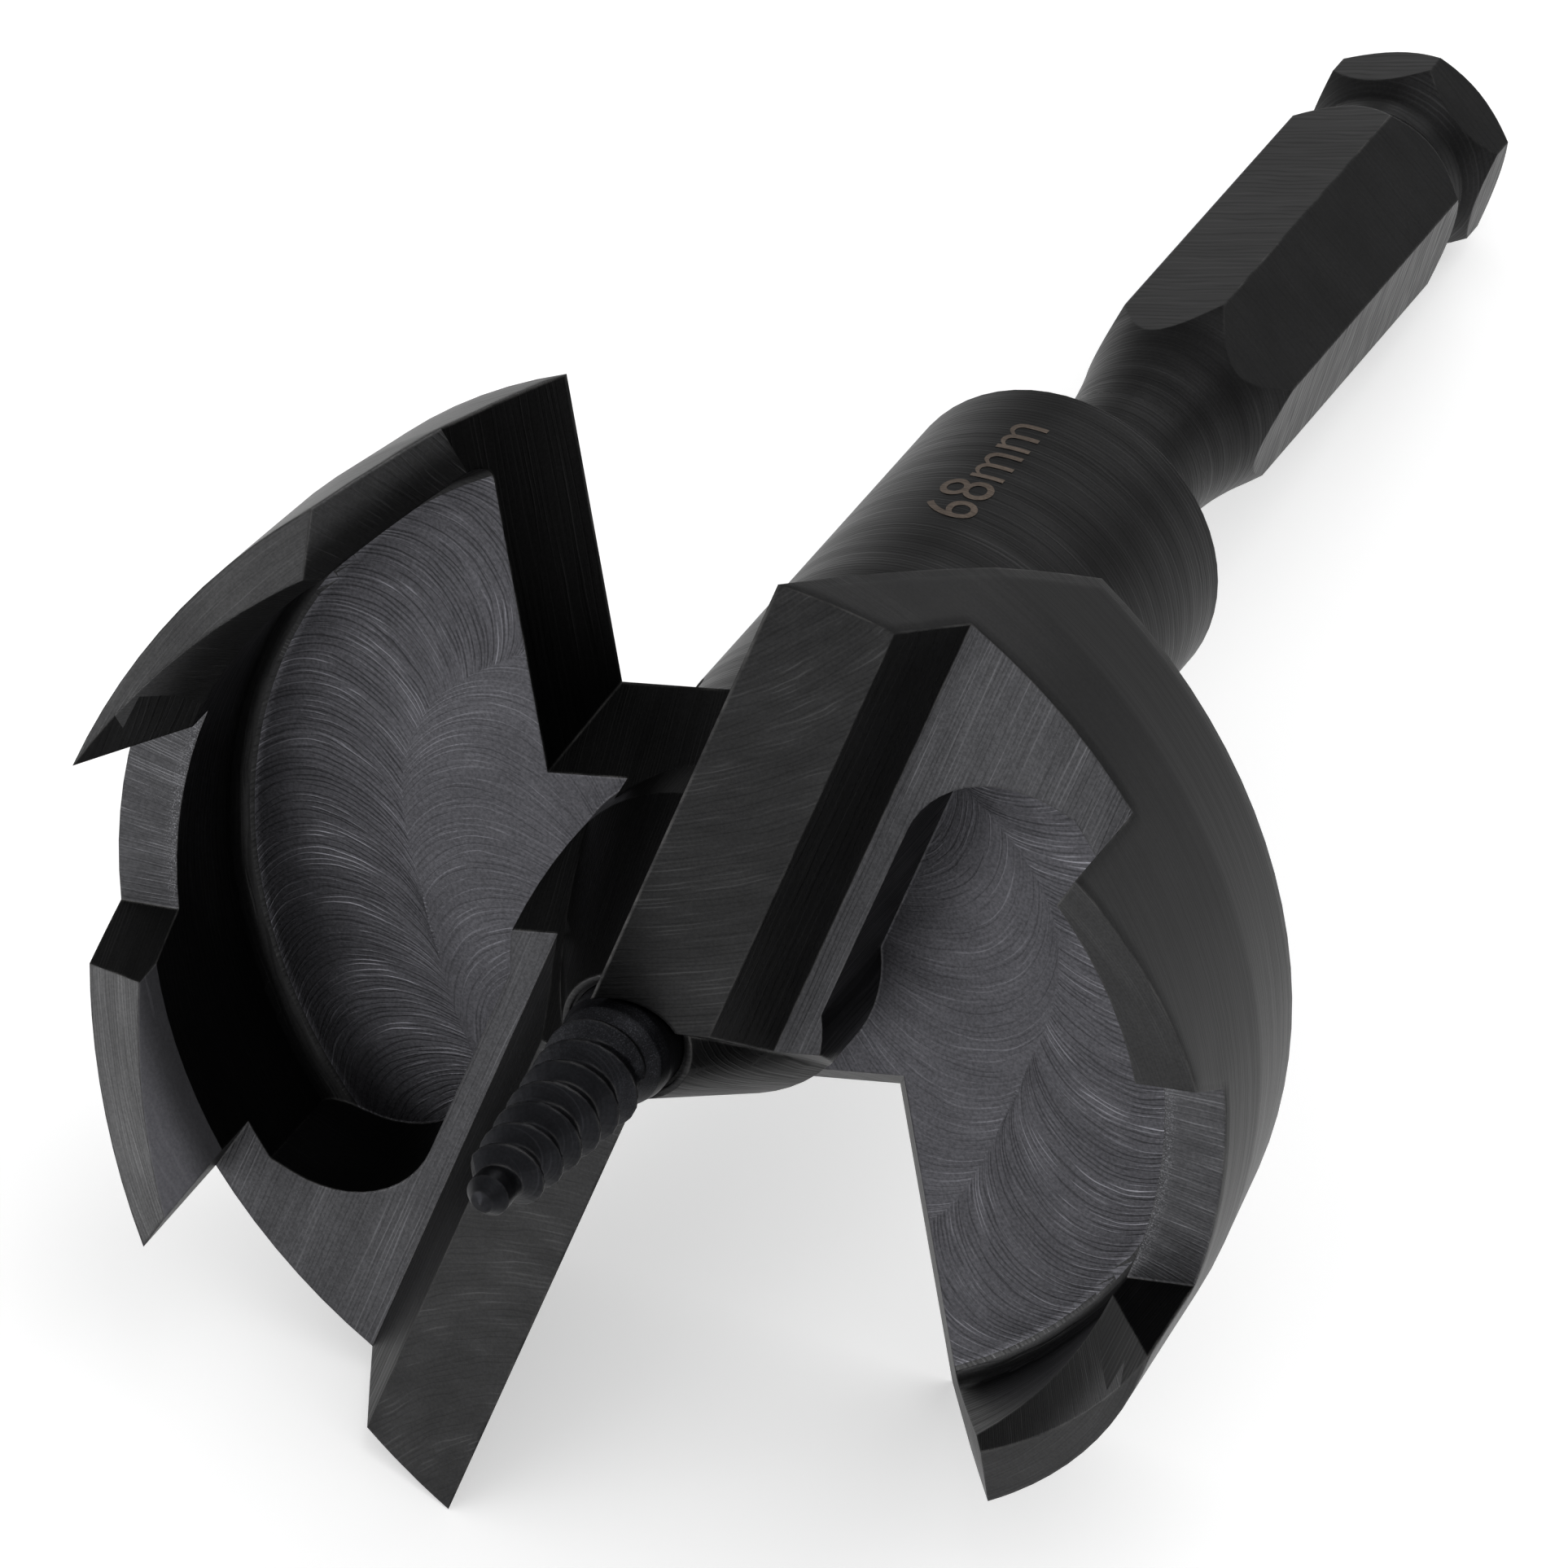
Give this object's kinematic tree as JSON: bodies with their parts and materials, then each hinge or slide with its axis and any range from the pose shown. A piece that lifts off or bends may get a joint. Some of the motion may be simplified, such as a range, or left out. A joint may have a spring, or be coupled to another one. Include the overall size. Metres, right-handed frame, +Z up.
{
  "type": "self-feed wood bit",
  "caption": "Self-feed wood bit with winged blades, a toothed rim, a tapered feed screw at the centre and a grooved hex shank, for boring wide holes in timber.",
  "frame": {"origin": "middle of the bounding box at bench height", "axes": "+Z up from the bench the bit lies on, the cutting end towards -Y and the shank towards +Y"},
  "size_m": [0.067, 0.1272, 0.0647],
  "materials": {
    "cutter_body": "black oxide, satin",
    "feed_screw": "black oxide, satin",
    "set_screw": "black oxide"
  },
  "bodies": {
    "root": {"cutter_body": "cutter_body", "feed_screw": "feed_screw", "set_screw": "set_screw"}
  },
  "joints": []
}
